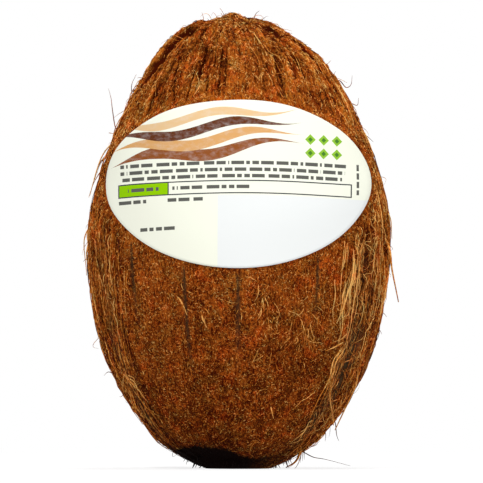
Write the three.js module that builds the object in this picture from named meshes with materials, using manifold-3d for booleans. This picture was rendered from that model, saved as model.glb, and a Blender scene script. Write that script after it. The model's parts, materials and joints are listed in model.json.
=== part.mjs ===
// A brown coconut in its rough fibre husk, with an oval paper label wrapped round the front.
// Millimetres, +Z up, the label facing -Y. The origin is the middle of the small flat spot
// that the nut stands on. The husk is one solid, with its loose strands grown into it.
import * as THREE from "three";
import { mergeVertices } from "three/addons/utils/BufferGeometryUtils.js";
import Module from "manifold-3d";

const wasm = await Module();
wasm.setup();

// Driving dimensions
const WIDTH = 103; // across the belly, side to side
const DEPTH = 100; // across the belly, front to back
const HEIGHT = 157;
const TIP_SHIFT = -2; // the tip sits a little left of the middle
const TIP_SHIFT_HEIGHTS = [138, 152]; // where the shift begins and where it is full
const LABEL_ACROSS = 91; // the label's oval as seen from the front
const LABEL_TALL = 57.5;
const LABEL_HEIGHT = 98; // of the label's middle
const LABEL_THICKNESS = 0.6;
const LABEL_GAP = 0.35; // between the label and the husk

// The side outline, from the edge of the flat spot to the tip:
// share of half the width, share of the height
const OUTLINE = [
  [0.2, 0],
  [0.335, 0.02],
  [0.55, 0.073],
  [0.77, 0.172],
  [0.928, 0.303],
  [1, 0.467],
  [0.963, 0.6],
  [0.79, 0.763],
  [0.555, 0.893],
  [0.305, 0.967],
  [0.15, 0.99],
  [0, 1],
];

// Relief of the husk, in millimetres out of the smooth outline
const RIDGES = 24; // fibre bundles round the nut
const RIDGE_RELIEF = 1.7; // from the bottom of a furrow to its crest
const RIDGE_ROUNDNESS = 0.75; // under 1 the furrows are narrow and the crests broad
const BELLY_RIDGE_SHARE = 0.12; // how much of a ridge is left on the smooth front
const LUMP_RELIEF = 0.45;
const FLANK_START = 38; // degrees from the front where ridges run down the belly again
const FLANK_FULL = 62;
const CONE_START = 104; // the height where the ridges of the pointed end begin
const CONE_FULL = 132;

// Long hollows where the husk has sunk in: azimuth of the foot and of the head in degrees from
// the front, positive to the right, half width in degrees, lowest and highest point, and depth
const HOLLOWS = [
  { foot: 56, head: 64, halfWidth: 6, low: 12, high: 86, depth: 1.5 },
  { foot: -70, head: -65, halfWidth: 4.5, low: 14, high: 88, depth: 1.3 },
  { foot: 172, head: 172, halfWidth: 6, low: 20, high: 96, depth: 1.3 },
];
// The dark dished patch low on the front
const DISH = { azimuth: -32, halfWidth: 62, height: 3.5, halfHeight: 6, depth: 1.3 };

// Sampling of the husk's surface
const COLUMNS_PER_RIDGE = 4;
const ROWS = 38;
const LABEL_RIM = 60; // points round the label's rim
const LABEL_STEPS = 9; // rings from the label's middle to its rim, evenly spaced round the nut

// Loose strands on the front, each a route seen from the front: millimetres across from the
// middle and up from the base. lift is how far the free end stands off the husk.
const STRAND_THICKNESS = 0.9;
const FRONT_STRANDS = [
  { route: [[38.2, 82], [39.4, 67.5], [37.2, 59], [33.6, 50.5]], lift: 0.9 },
  { route: [[37.2, 80.5], [36.8, 74], [36, 69]], lift: 0.8 },
  { route: [[44.6, 66], [43, 61], [42.2, 54.5]], lift: 0.8 },
  { route: [[37.4, 44.4], [34.3, 43], [29.8, 41.2]], lift: 0.9 },
  { route: [[34.6, 43], [31.2, 31.6], [27.6, 24.4], [24.6, 18.4]], lift: 0.9 },
  { route: [[33.8, 35], [31.8, 26.5], [33.4, 16.9]], lift: 2.6 },
  { route: [[42, 36], [41, 31], [38.6, 25.5], [34.2, 15.9]], lift: 3.6 },
  { route: [[22.2, 8.2], [21.9, 4.6], [21.8, 2.2]], lift: 1.6 },
  { route: [[50.8, 82], [52, 76], [53.2, 68.5], [55.1, 58.2]], lift: 5.2 },
  { route: [[-22.4, 60.8], [-19.6, 58.2], [-17.4, 53.2]], lift: 0.8 },
  { route: [[-12.4, 56.4], [-12.2, 52.6], [-10.6, 49]], lift: 0.8 },
  { route: [[-40.4, 34], [-37.4, 31], [-34.6, 28]], lift: 0.8 },
  { route: [[-37, 28.4], [-35.4, 23], [-32.4, 17.8]], lift: 0.8 },
  { route: [[10.8, 23], [11.6, 21], [12.4, 18]], lift: 0.8 },
  { route: [[9.2, 137.4], [8.2, 134.6], [8.1, 132]], lift: 0.8 },
  { route: [[-12.4, 134], [-13.4, 130.6], [-15.4, 127.4]], lift: 0.8 },
];
// Loose strands elsewhere come from this seeded rule
const BACK_STRANDS = 26;
const BACK_SEED = 7;
const BACK_AZIMUTHS = [84, 276];
const BACK_TOPS = [34, 128];
const BACK_LENGTHS = [9, 26];
const BACK_LIFTS = [0.7, 1.3];
const STRAND_SIDES = 4;
const STRAND_STEPS = 6;
const ROOT_DEPTH = 2.8; // how far a strand's root is sunk in the husk

const HUSK_BROWN = 0x7d3f14;
const LABEL_CREAM = 0xf6f8e9;

const radians = THREE.MathUtils.degToRad;
const { smoothstep, lerp, clamp } = THREE.MathUtils;

const outline = new THREE.SplineCurve(
  OUTLINE.map(([across, up]) => new THREE.Vector2((across * WIDTH) / 2, up * HEIGHT)),
);

// Azimuth difference folded to -180..180 degrees, in degrees.
function turn(azimuth, from) {
  return ((((azimuth - from + 180) % 360) + 360) % 360) - 180;
}

// A bump that is 1 at the middle and 0 past the half width.
function bump(distance, halfWidth) {
  return 1 - smoothstep(Math.abs(distance), 0, halfWidth);
}

// A point `out` millimetres off the smooth nut, at an azimuth in radians and a share of the outline.
function offNut(azimuth, share, out) {
  const at = outline.getPointAt(share);
  const along = outline.getTangentAt(share);
  const radius = at.x + along.y * out;
  const height = at.y - along.x * out;
  return new THREE.Vector3(
    radius * Math.sin(azimuth) + TIP_SHIFT * smoothstep(height, ...TIP_SHIFT_HEIGHTS),
    (-radius * Math.cos(azimuth) * DEPTH) / WIDTH,
    height,
  );
}

// The share of the outline at a height, by halving.
function shareAt(height) {
  let low = 0;
  let high = 1;
  for (let step = 0; step < 24; step++) {
    const middle = (low + high) / 2;
    if (outline.getPointAt(middle).y < height) low = middle;
    else high = middle;
  }
  return low;
}

// Bundle lines wander: the azimuth of the bundle line that leaves the base at `line`.
function wander(line, height) {
  return (
    line +
    0.045 * Math.sin(5 * line + 1.1) +
    0.026 * Math.sin(9 * line + 0.4) +
    0.05 * Math.sin(height / 26 + 2 * line)
  );
}

function ridgeAt(line) {
  const strength = 0.78 + 0.22 * Math.sin(7 * line + 0.5);
  const crest = Math.abs(Math.sin((RIDGES * line) / 2)) ** RIDGE_ROUNDNESS;
  return RIDGE_RELIEF * strength * (crest - 0.55);
}

// How much the ridges show: fully on the pointed end, less down the flanks and back,
// barely on the felted front, and not under the label.
function ridgeShare(azimuth, height) {
  const cone = smoothstep(height, CONE_START, CONE_FULL);
  const flank = 0.7 * smoothstep(Math.abs(turn(azimuth, 0)), FLANK_START, FLANK_FULL);
  return Math.max(BELLY_RIDGE_SHARE, cone, flank) * (1 - underLabel(azimuth, height));
}

// 1 under the label and a little past its edge, fading to 0.
function underLabel(azimuth, height) {
  const front = Math.cos(radians(azimuth)) > 0;
  const half = outline.getPointAt(shareAt(height)).x;
  const across = (half * Math.sin(radians(azimuth))) / (LABEL_ACROSS / 2);
  const up = (height - LABEL_HEIGHT) / (LABEL_TALL / 2);
  return front ? 1 - smoothstep(Math.hypot(across, up), 1.08, 1.25) : 0;
}

function lump(azimuth, height) {
  const a = radians(azimuth);
  return (
    LUMP_RELIEF * (Math.sin(3 * a + 0.8 + height / 40) + 0.6 * Math.sin(5 * a - height / 17))
  );
}

function hollow(azimuth, height) {
  let depth = 0;
  for (const h of HOLLOWS) {
    const middle = (h.low + h.high) / 2;
    const reach = (h.high - h.low) / 2;
    const along = 1 - smoothstep(Math.abs(height - middle), reach / 2, reach);
    const aim = lerp(h.foot, h.head, clamp((height - h.low) / (h.high - h.low), 0, 1));
    depth += h.depth * along * bump(turn(azimuth, aim), 2 * h.halfWidth);
  }
  const beside = turn(azimuth, DISH.azimuth) / DISH.halfWidth;
  const above = (height - DISH.height) / DISH.halfHeight;
  return depth + DISH.depth * bump(Math.hypot(beside, above), 1);
}

// The husk's relief, which dies away at the flat spot and at the tip.
function relief(line, azimuth, height, radius) {
  const ends = smoothstep(height, 0, 9) * smoothstep(radius, 0, 12);
  const ridges = ridgeAt(line) * ridgeShare(azimuth, height);
  return ends * (lump(azimuth, height) + ridges) - smoothstep(height, 0, 3) * hollow(azimuth, height);
}

// A grid of rings closed at both ends by one point each, as an indexed geometry facing out.
function closedRings(rings, first, last) {
  const count = rings[0].length;
  const points = [first, ...rings.flat(), last];
  const index = [];
  const at = (ring, column) => 1 + ring * count + (column % count);
  for (let column = 0; column < count; column++) {
    index.push(0, at(0, column + 1), at(0, column));
    for (let ring = 0; ring + 1 < rings.length; ring++) {
      const [a, b] = [at(ring, column), at(ring, column + 1)];
      const [c, d] = [at(ring + 1, column + 1), at(ring + 1, column)];
      index.push(a, b, c, a, c, d);
    }
    index.push(points.length - 1, at(rings.length - 1, column), at(rings.length - 1, column + 1));
  }
  return new THREE.BufferGeometry().setFromPoints(points).setIndex(index);
}

function solidFrom(geometry) {
  const merged = mergeVertices(geometry, 1e-4);
  const mesh = new wasm.Mesh({
    numProp: 3,
    vertProperties: new Float32Array(merged.attributes.position.array),
    triVerts: new Uint32Array(merged.index.array),
  });
  return new wasm.Manifold(mesh);
}

function geometryFrom(solid) {
  const mesh = solid.getMesh();
  const geometry = new THREE.BufferGeometry();
  geometry.setAttribute("position", new THREE.BufferAttribute(mesh.vertProperties, 3));
  geometry.setIndex(new THREE.BufferAttribute(mesh.triVerts, 1));
  geometry.computeVertexNormals();
  return geometry;
}

// The nut's body: bundle lines run from the flat spot to the tip.
function huskBody() {
  const columns = RIDGES * COLUMNS_PER_RIDGE;
  const rings = [];
  for (let row = 0; row < ROWS; row++) {
    const share = row / ROWS;
    const { x: radius, y: height } = outline.getPointAt(share);
    const ring = [];
    for (let column = 0; column < columns; column++) {
      const line = (2 * Math.PI * column) / columns;
      const azimuth = wander(line, height);
      const out = relief(line, THREE.MathUtils.radToDeg(azimuth), height, radius);
      ring.push(offNut(azimuth, share, out));
    }
    rings.push(ring);
  }
  const foot = new THREE.Vector3(0, 0, 0);
  return solidFrom(closedRings(rings, foot, offNut(0, 1, 0)));
}

// A strand: a slim tube along a path, widest near its root and pointed at its free end.
function strand(path, thickness) {
  const frames = path.computeFrenetFrames(STRAND_STEPS, false);
  const rings = [];
  for (let step = 0; step < STRAND_STEPS; step++) {
    const t = step / STRAND_STEPS;
    const middle = path.getPointAt(t);
    const radius = (thickness / 2) * (1 - 0.35 * t);
    const ring = [];
    for (let side = 0; side < STRAND_SIDES; side++) {
      const angle = (2 * Math.PI * side) / STRAND_SIDES;
      const offset = new THREE.Vector3()
        .addScaledVector(frames.normals[step], radius * Math.cos(angle))
        .addScaledVector(frames.binormals[step], radius * Math.sin(angle));
      ring.push(middle.clone().add(offset));
    }
    rings.push(ring);
  }
  return solidFrom(closedRings(rings, path.getPointAt(0), path.getPointAt(1)));
}

// How far a strand lies off the smooth nut: sunk in at its root, `lift` off at its free end.
function strandOut(t, lift) {
  return t === 0 ? -ROOT_DEPTH : lerp(0.75, lift, t) + LUMP_RELIEF;
}

// A path over the husk through stops, each an azimuth in radians and a height.
function overHusk(stops, lift) {
  const points = stops.map(([azimuth, height], i) =>
    offNut(azimuth, shareAt(height), strandOut(i / (stops.length - 1), lift)),
  );
  return new THREE.CatmullRomCurve3(points);
}

// The azimuth of a place seen from the front, `out` millimetres off the smooth nut.
function azimuthSeen(across, height, out) {
  const reach = outline.getPointAt(shareAt(height)).x + out;
  return Math.asin(clamp(across / reach, -0.995, 0.995));
}

function frontStrands() {
  return FRONT_STRANDS.map(({ route, lift }) => {
    const stops = route.map(([across, height], i) => {
      const out = strandOut(i / (route.length - 1), lift);
      return [azimuthSeen(across, height, out), height];
    });
    return strand(overHusk(stops, lift), STRAND_THICKNESS);
  });
}

// A small seeded generator of numbers from 0 to 1.
function seeded(seed) {
  let state = seed;
  return () => {
    state = (state * 16807) % 2147483647;
    return state / 2147483647;
  };
}

function backStrands() {
  const random = seeded(BACK_SEED);
  const between = ([low, high]) => lerp(low, high, random());
  return Array.from({ length: BACK_STRANDS }, () => {
    const azimuth = radians(between(BACK_AZIMUTHS));
    const top = between(BACK_TOPS);
    const bottom = Math.max(8, top - between(BACK_LENGTHS));
    const lean = radians(lerp(-9, 9, random()));
    const lift = between(BACK_LIFTS);
    const stops = [0, 0.4, 1].map((t) => [azimuth + lean * t * t, lerp(top, bottom, t)]);
    return strand(overHusk(stops, lift), STRAND_THICKNESS);
  });
}

// The oval label, bent round the front of the nut, as rings from its middle to its rim on both
// faces.
function labelSheet() {
  const place = (reach, angle, out) => {
    const height = LABEL_HEIGHT + (LABEL_TALL / 2) * reach * Math.sin(angle);
    const across = (LABEL_ACROSS / 2) * reach * Math.cos(angle);
    const azimuth = azimuthSeen(across, height, out);
    const lumps = lump(THREE.MathUtils.radToDeg(azimuth), height);
    return offNut(azimuth, shareAt(height), out + lumps);
  };
  const ringAt = (reach, out) =>
    Array.from({ length: LABEL_RIM }, (_, i) => place(reach, (2 * Math.PI * i) / LABEL_RIM, out));
  const inside = LABEL_GAP;
  const outside = LABEL_GAP + LABEL_THICKNESS;
  const sweep = Math.asin(LABEL_ACROSS / WIDTH);
  const reaches = Array.from(
    { length: LABEL_STEPS },
    (_, i) => Math.sin((sweep * (i + 1)) / LABEL_STEPS) / Math.sin(sweep),
  );
  const rings = [
    ...reaches.map((reach) => ringAt(reach, inside)),
    ...reaches.toReversed().map((reach) => ringAt(reach, outside)),
  ];
  return closedRings(rings, place(0, 0, inside), place(0, 0, outside));
}

function husk() {
  const solid = wasm.Manifold.union([huskBody(), ...frontStrands(), ...backStrands()]);
  const material = new THREE.MeshStandardMaterial({ color: HUSK_BROWN, roughness: 0.95, metalness: 0 });
  const mesh = new THREE.Mesh(geometryFrom(solid), material);
  mesh.name = "husk";
  return mesh;
}

function label() {
  const material = new THREE.MeshStandardMaterial({ color: LABEL_CREAM, roughness: 0.55, metalness: 0 });
  const mesh = new THREE.Mesh(labelSheet(), material);
  mesh.name = "label";
  return mesh;
}

const coconut = new THREE.Group();
coconut.add(husk(), label());
export default coconut;
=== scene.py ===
"""A brown coconut in its rough fibre husk, with an oval paper label wrapped round the front."""

import json
import math

import bpy
import numpy as np
from bpy.props import FloatProperty, FloatVectorProperty, IntProperty, PointerProperty
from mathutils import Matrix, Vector, noise

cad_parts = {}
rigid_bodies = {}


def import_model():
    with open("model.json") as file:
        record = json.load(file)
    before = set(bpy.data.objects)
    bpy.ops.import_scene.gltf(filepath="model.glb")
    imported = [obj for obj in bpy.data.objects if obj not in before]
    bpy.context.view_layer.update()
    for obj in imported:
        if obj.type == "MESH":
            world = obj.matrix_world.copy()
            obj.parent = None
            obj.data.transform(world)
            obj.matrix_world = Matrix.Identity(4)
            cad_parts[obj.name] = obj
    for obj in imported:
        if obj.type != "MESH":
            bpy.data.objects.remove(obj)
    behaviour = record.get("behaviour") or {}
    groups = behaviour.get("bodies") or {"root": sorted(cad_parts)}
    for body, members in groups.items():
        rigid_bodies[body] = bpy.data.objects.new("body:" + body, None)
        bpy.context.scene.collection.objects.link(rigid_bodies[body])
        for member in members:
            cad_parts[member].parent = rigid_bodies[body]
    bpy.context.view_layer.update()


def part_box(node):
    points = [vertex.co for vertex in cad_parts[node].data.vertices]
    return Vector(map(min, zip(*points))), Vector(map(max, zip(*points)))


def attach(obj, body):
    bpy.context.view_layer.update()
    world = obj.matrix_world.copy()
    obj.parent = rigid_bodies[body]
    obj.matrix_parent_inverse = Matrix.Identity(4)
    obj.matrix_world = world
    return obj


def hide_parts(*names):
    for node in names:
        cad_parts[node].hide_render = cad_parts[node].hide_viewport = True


bl_info = {
    "name": "Coconut in its husk",
    "version": (1, 0, 0),
    "blender": (4, 5, 0),
    "location": "View3D > Sidebar > Coconut",
    "description": "Builds the felted husk, its fibres and strands, and the paper label round it",
    "category": "Add Mesh",
}

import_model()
HUSK_LOW, HUSK_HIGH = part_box("husk")
MM = 0.001
BODY = "root"

# Shape of the nut, as the frame's husk has it, in millimetres
WIDTH = 103.0
DEPTH = 100.0
HEIGHT = (HUSK_HIGH.z - HUSK_LOW.z) / MM
OUTLINE = np.array([
    (0.2, 0), (0.335, 0.02), (0.55, 0.073), (0.77, 0.172), (0.928, 0.303), (1, 0.467),
    (0.963, 0.6), (0.79, 0.763), (0.555, 0.893), (0.305, 0.967), (0.15, 0.99), (0, 1),
])  # share of half the width, share of the height, from the flat spot's edge to the tip
OUTLINE_SAMPLES = 4000
TIP_SHIFT, TIP_SHIFT_HEIGHTS = -2.0, (138, 152)  # the tip sits a little left of the middle
RIDGES = 24
RIDGE_RELIEF = 1.7
RIDGE_ROUNDNESS = 0.75
BELLY_RIDGE_SHARE = 0.12
LUMP_RELIEF = 0.45
SLIM_RIDGES = 58  # narrower bundles that show on the pointed end
SLIM_RELIEF = 0.85
BUNDLE_ENDS = (141, 156)  # heights where the slim bundles break off near the tip
BUNDLE_DROP = 1.5
FLANK_START, FLANK_FULL = 38.0, 62.0
CONE_START, CONE_FULL = 104.0, 132.0
CALM_AZIMUTH, CALM_HALF_WIDTH, CALM_SHARE = 5, 26, 0.6  # smoother felt on the front of that end
# Azimuth at the lowest and at the highest point, half width, lowest and highest point, depth,
# and how grey the middle is, from 0 to 1
HOLLOWS = [
    (56, 64, 6, 12, 86, 1.5, 1.0),
    (-70, -65, 4.5, 14, 88, 1.3, 0.55),
    (172, 172, 6, 20, 96, 1.3, 0.7),
]
HOLLOW_SHADE = 0.35  # how dark the upper part of a hollow is, from 0 to 1
GREY_REACH = 2.2  # how wide the grey is, as a share of the hollow's half width
GREY_FADE, GREY_FADE_HEIGHTS = 0.6, (42, 58)  # how much of it goes higher up, and where
DISH_AZIMUTH, DISH_HALF_WIDTH, DISH_HEIGHT, DISH_HALF_HEIGHT, DISH_DEPTH = -32, 62, 3.5, 6, 1.3
# The upper edge of the black patch at the foot: azimuth and height
PATCH_EDGE = [
    (-120, 2), (-95, 5), (-80, 7.4), (-35, 8.3), (-10, 7.2), (3, 5), (21, 4), (45, 6), (60, 5),
    (85, 2),
]
TIP_DIP = 0.5  # how far the felt just round the tip lies below the smooth nut

# Fine relief of the felt, and how much more of it the bundles and the pointed end have
STRING_RELIEF, STRING_ON_RIDGES = 0.16, 0.2
NUB_RELIEF, NUB_ON_CONE = 0.16, 0.16
CLUMP_RELIEF, CRACK_DEPTH, HATCH_DEPTH = 0.2, 0.7, 0.45
LABEL_MARGIN = (1.02, 1.14)  # the husk is smooth below the first, as a share of the oval's size

# Splits in the husk, which also darken the colour as painted shade: azimuth at the lowest and the
# highest point, those points, half width, depth
SPLITS = [
    (-11, -11, 127, 145, 0.22, 1.5), (-24, -23, 134, 146, 0.45, 1.3),
    (-28, -27, 126, 139, 0.3, 1.5), (-34, -43, 122, 142, 0.35, 1.7),
    (-50, -52, 119, 131, 0.6, 1.6), (-44, -47, 126, 131, 0.3, 1.2),
    # The broad first split below mostly darkens the left rim of the pointed end as painted shade
    (-72, -64, 134, 152, 3.4, 1.9), (72, 50, 138, 154, 1.0, 1.5), (45, 44, 139, 147, 0.35, 1.6),
    (45, 38, 140, 152, 0.3, 0.9), (23, 18, 126, 142, 0.4, 0.9), (3, 2, 141, 149, 0.3, 0.8),
    (57, 54, 118, 131, 0.4, 1.0), (-66, -67, 52, 72, 0.5, 1.4), (-60, -61, 54, 92, 0.4, 1.3),
    (-73, -74, 66, 98, 0.4, 1.1), (-55, -55, 66, 88, 0.4, 0.8), (58, 61, 50, 84, 0.6, 1.3),
    (-17, -19, 124, 135, 0.25, 1.3), (-40, -45, 132, 146, 0.3, 1.3), (12, 9, 130, 139, 0.25, 0.8),
    (33, 28, 134, 148, 0.25, 1.1), (40, 36, 120, 131, 0.3, 1.1), (70, 66, 120, 138, 0.5, 1.3),
    (61, 63, 24, 50, 0.9, 1.3), (55, 60, 54, 84, 0.5, 1.3), (65, 68, 62, 80, 0.3, 0.5),
    (50, 56, 14, 26, 0.9, 1.2), (-64, -63, 38, 62, 0.5, 1.2), (-58, -59, 58, 84, 0.3, 1.0),
]
BACK_SPLITS = 24
# Narrow furrows down the felted belly, darkened as painted shade: azimuth, lowest and highest
# point
FURROWS = [(-45.6, 52, 100), (-21, 38, 100), (0, 42, 100), (33, 54, 100)]
FURROW_DEPTH, FURROW_HALF_WIDTH = 0.8, 0.5

# Loose strands on the front, as seen from it: route across and up, and how far the end lifts
FRONT_STRANDS = [
    ([(38.2, 82), (39.4, 67.5), (37.2, 59), (33.6, 50.5)], 0.9),
    ([(37.2, 80.5), (36.8, 74), (36, 69)], 0.8),
    ([(44.6, 66), (43, 61), (42.2, 54.5)], 0.8),
    ([(37.4, 44.4), (34.3, 43), (29.8, 41.2)], 0.9),
    ([(34.6, 43), (31.2, 31.6), (27.6, 24.4), (24.6, 18.4)], 0.9),
    ([(33.8, 35), (31.8, 26.5), (33.4, 16.9)], 2.6),
    ([(42, 36), (41, 31), (38.6, 25.5), (34.2, 15.9)], 3.6),
    ([(22.2, 8.2), (21.9, 4.6), (21.8, 2.2)], 1.6),
    ([(50.8, 82), (52, 76), (53.2, 68.5), (55.1, 58.2)], 5.2),
    ([(-22.4, 60.8), (-19.6, 58.2), (-17.4, 53.2)], 0.8),
    ([(-12.4, 56.4), (-12.2, 52.6), (-10.6, 49)], 0.8),
    ([(-40.4, 34), (-37.4, 31), (-34.6, 28)], 0.8),
    ([(-37, 28.4), (-35.4, 23), (-32.4, 17.8)], 0.8),
    ([(10.8, 23), (11.6, 21), (12.4, 18)], 0.8),
    ([(9.2, 137.4), (8.2, 134.6), (8.1, 132)], 0.8),
    ([(-12.4, 134), (-13.4, 130.6), (-15.4, 127.4)], 0.8),
]
BACK_STRANDS, BACK_SEED = 26, 7
BACK_AZIMUTHS, BACK_TOPS = (84, 276), (34, 128)
BACK_LENGTHS, BACK_LIFTS = (9, 26), (0.7, 1.3)
FOOT_BRISTLES = 90
ROOT_DEPTH = 2.8
ROOT_LIFT = 0.75  # how far a loose strand stands off just past its root
BOLD_LIFT, BOLD_WIDTH, PLAIN_WIDTH = 1.4, 1.5, 0.8  # strands that lift far are thicker
FAR_LIFT, FAR_TONE = 5, 0.3  # and the one that lifts furthest is dark
# Runs of loose fibre seen from the front: route across and up, how many, how far they spread,
# and what share of them is pale
RUNS = [
    ([(39.6, 81.3), (39.6, 70.9), (38.6, 60.6), (37.5, 50.3), (36.8, 42.3)], 24, 2.4, 0.45),
    ([(38.9, 51.6), (37.2, 43), (34.1, 37.2), (32.4, 31.7), (31.3, 26.2)], 20, 1.2, 0.65),
    ([(32.4, 31.7), (31.3, 26.2), (28.9, 19.3), (27.5, 13)], 9, 1.0, 0.5),
    ([(48.5, 80), (48.5, 68), (47.5, 56.5), (46, 49.6), (43.6, 42.3), (41.2, 35.8)], 16, 1.0, 0.2),
    ([(43.4, 82), (43.2, 70), (42.4, 60), (41, 50), (39, 42)], 22, 1.5, 0.5),
    ([(39.2, 36), (36.6, 30), (33.4, 24), (29.6, 18)], 14, 1.0, 0.0),
    ([(31.3, 24), (27.9, 17.2), (23.4, 13.4), (18, 9)], 8, 1.4, 0.3),
    ([(-41.7, 34.6), (-38.9, 31.7), (-34.4, 27.2), (-31, 21)], 4, 0.8, 0.3),
    ([(-49.8, 92), (-50.2, 75), (-48.4, 58), (-44.9, 43), (-40.6, 33)], 14, 1.0, 0.07),
    ([(-45.8, 88), (-46.1, 72), (-45.1, 58), (-42.6, 44)], 12, 1.3, 0.1),
    ([(-41, 84), (-41.6, 70), (-40.6, 56)], 8, 1.6, 0.05),
]
# Places with curled fibre: azimuth and spread, lowest and highest point, how many, longest, and
# how pale
TANGLES = [
    (61, 7, 8, 50, 110, 12, 1.0), (57, 6, 52, 92, 130, 13, 1.0), (-67, 4, 20, 70, 34, 14, 0.8),
    (172, 8, 22, 96, 70, 17, 1.0), (24, 8, 36, 56, 40, 8, 0.85), (11, 2.5, 48, 66, 44, 7, 0.95),
    (29, 4, 44, 62, 40, 8, 0.8), (-22, 14, 44, 70, 16, 6, 0.9), (0, 50, 14, 44, 36, 5, 0.8),
]
# Hairs that stand out of the outline as seen from the front: across and up
OUTLINE_HAIRS = [
    [(-42.2, 117.4), (-43.2, 123.3), (-43.7, 127.4), (-44.6, 130.8)],
    [(-36.3, 128), (-36.6, 132), (-35, 135.7)],
    [(-13.4, 151.6), (-11.9, 154.4), (-12.4, 157)],
    [(5.2, 154.6), (6.2, 156.6), (7.4, 157.6)],
    [(29, 138.6), (30.6, 139.2), (32, 140.5)],
    [(31.2, 135.9), (32.7, 135.4), (33.6, 136.8)],
    [(35.2, 133.4), (37.2, 131.2), (38.9, 132.2), (39.3, 135.3)],
    [(39.2, 125.6), (41.1, 125.1), (41.5, 127.6)],
    [(43.4, 115), (45, 113.9), (46.6, 112.4)],
    [(49.2, 54), (50.2, 53.4), (51.2, 52.2)],
    [(48, 48), (48.8, 47.6), (49.5, 46.2)],
    [(22.6, 5.6), (26, 3.9), (30.4, 3.1), (38.7, 0.9)],
    [(24, 8), (26, 7.7), (28.2, 9.5)],
    [(21.2, 7.4), (21.2, 5), (20.9, 2.6)],
    [(21.8, 7.4), (21.7, 4.8), (21.4, 2)],
    [(22.4, 7.6), (22.3, 5), (22.1, 2.4)],
    [(22.9, 7.8), (22.8, 5.2), (22.8, 3)],
    [(29.6, 13.4), (30.2, 11.6), (30, 9.4)],
    [(33.4, 16), (34, 11.4), (34.8, 9.4)],
    [(7.4, 1.2), (8.8, 0.6), (10.7, 0.7)],
    [(-43.4, 33), (-44.8, 33.2), (-46.2, 32)],
    [(-51.6, 72), (-52.6, 71.9), (-53.3, 71.2)],
    [(-47.4, 102), (-49.8, 98), (-50.9, 94)],
]

# Printed rules on the label: left and right ends and height, from the oval's middle
RULES = [
    (-40, 38.5, 6.5), (-40, 37, 4.2), (-40, 36, 2.0), (-41, -30.5, -5.7), (-24.5, -12, -5.7),
    (-33.5, -21.5, -15.2), (-37.4, -27, -1.7), (-22.4, 5, -1.7),
]
RULE_TALL = 1.2
PRINT_ARCH = 0.00107  # how the lines of print arch up in the middle, round the barrel of the nut

FORM_BOX, FORM_LINE = (-40.8, 39.3, -3.45, 1.16), 0.4
TAB_END = -24.0
# How the rules break: how far apart the gaps are, their shift with height, the printed share
RULE_GAPS = [(8.3, 0.37, 0.9), (5.1, 0.53, 0.86)]
PAPER_GAP = 0.35
PAPER_EDGE = 1.03  # how near the label a fibre comes, as a share of the oval's size

# Painted light and shade, in metres across and up: both rims painted paler as if lit from the
# sides, the tip paler as if lit from above, and painted shade deepest at the foot that fades out
# by the upper height
RIGHT_RIM_LIGHT, LEFT_RIM_LIGHT = (0.044, 0.05), (-0.045, -0.051)
LOWER_SHADE_FADE, TIP_TOP_LIGHT = (0.0, 0.08), (0.085, 0.14)
SUNKEN_GREY = (0.05, 0.038, 0.018)
PATCH_BLACK = (0.004, 0.0013, 0.0009)

SKIN_COLUMNS, SKIN_ROWS = 480, 168
LABEL_RIM, LABEL_RINGS = 100, 20
RUN_STEPS = 60
LOWEST = 0.02  # how far above the floor every fibre stays


class NutSettings(bpy.types.PropertyGroup):
    """Sizes and colours of the husk and its fibres."""

    felt_density: FloatProperty(
        name="Felt density", description="Short fibres on a square metre", default=1000000.0
    )
    felt_thickness: FloatProperty(
        name="Felt thickness", description="Thickness of a short fibre",
        default=0.36 * MM, unit="LENGTH",
    )
    bundle_count: IntProperty(
        name="Bundle fibres", description="Long fibres along the ridges", default=1800
    )
    hair_count: IntProperty(
        name="Stray hairs", description="Hairs that stand off the husk", default=190
    )
    dark: FloatVectorProperty(
        name="Dark brown", description="Deep and shaded fibre",
        subtype="COLOR", default=(0.04, 0.004, 0.0004),
    )
    rust: FloatVectorProperty(
        name="Rust", description="Most of the felt",
        subtype="COLOR", default=(0.25, 0.051, 0.005),
    )
    orange: FloatVectorProperty(
        name="Orange", description="Bright felt",
        subtype="COLOR", default=(0.46, 0.14, 0.013),
    )
    tan: FloatVectorProperty(
        name="Tan", description="Dry pale fibre",
        subtype="COLOR", default=(0.7, 0.36, 0.1),
    )


class LabelSettings(bpy.types.PropertyGroup):
    """Sizes and colours of the paper label."""

    across: FloatProperty(
        name="Across", description="Width of the oval as seen from the front",
        default=91 * MM, unit="LENGTH",
    )
    tall: FloatProperty(
        name="Tall", description="Height of the oval", default=57.5 * MM, unit="LENGTH"
    )
    height: FloatProperty(
        name="Height", description="Height of the oval's middle",
        default=98 * MM, unit="LENGTH",
    )
    thickness: FloatProperty(
        name="Thickness", description="Thickness of the paper", default=0.28 * MM, unit="LENGTH"
    )
    cream: FloatVectorProperty(
        name="Cream", description="Paper", subtype="COLOR", default=(0.655, 0.665, 0.57)
    )
    green: FloatVectorProperty(
        name="Green", description="Printed tab", subtype="COLOR", default=(0.205, 0.43, 0.001)
    )


class StageSettings(bpy.types.PropertyGroup):
    """Floor, lights and camera."""

    elevation: FloatProperty(
        name="Elevation", description="Camera above the horizon, in degrees", default=0.1
    )
    lens: FloatProperty(name="Lens", description="Focal length", default=1500.0)
    key_power: FloatProperty(name="Key", description="Power of the key light", default=7.5)
    sky: FloatProperty(name="Sky", description="Brightness of the sky overhead", default=0.35)


# Numbers over the surface. Lengths are millimetres, and angles degrees unless said.


def smoothstep(x, low, high):
    """0 below low and 1 above high, smooth between them."""
    t = np.clip((x - low) / (high - low), 0, 1)
    return t * t * (3 - 2 * t)


def turn(azimuth, start):
    """Degrees from a start to an azimuth, from -180 to 180."""
    return (azimuth - start + 180) % 360 - 180


def bump(distance, half_width):
    """1 in the middle, falling to 0 at the half width."""
    return 1 - smoothstep(np.abs(distance), 0, half_width)


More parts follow.
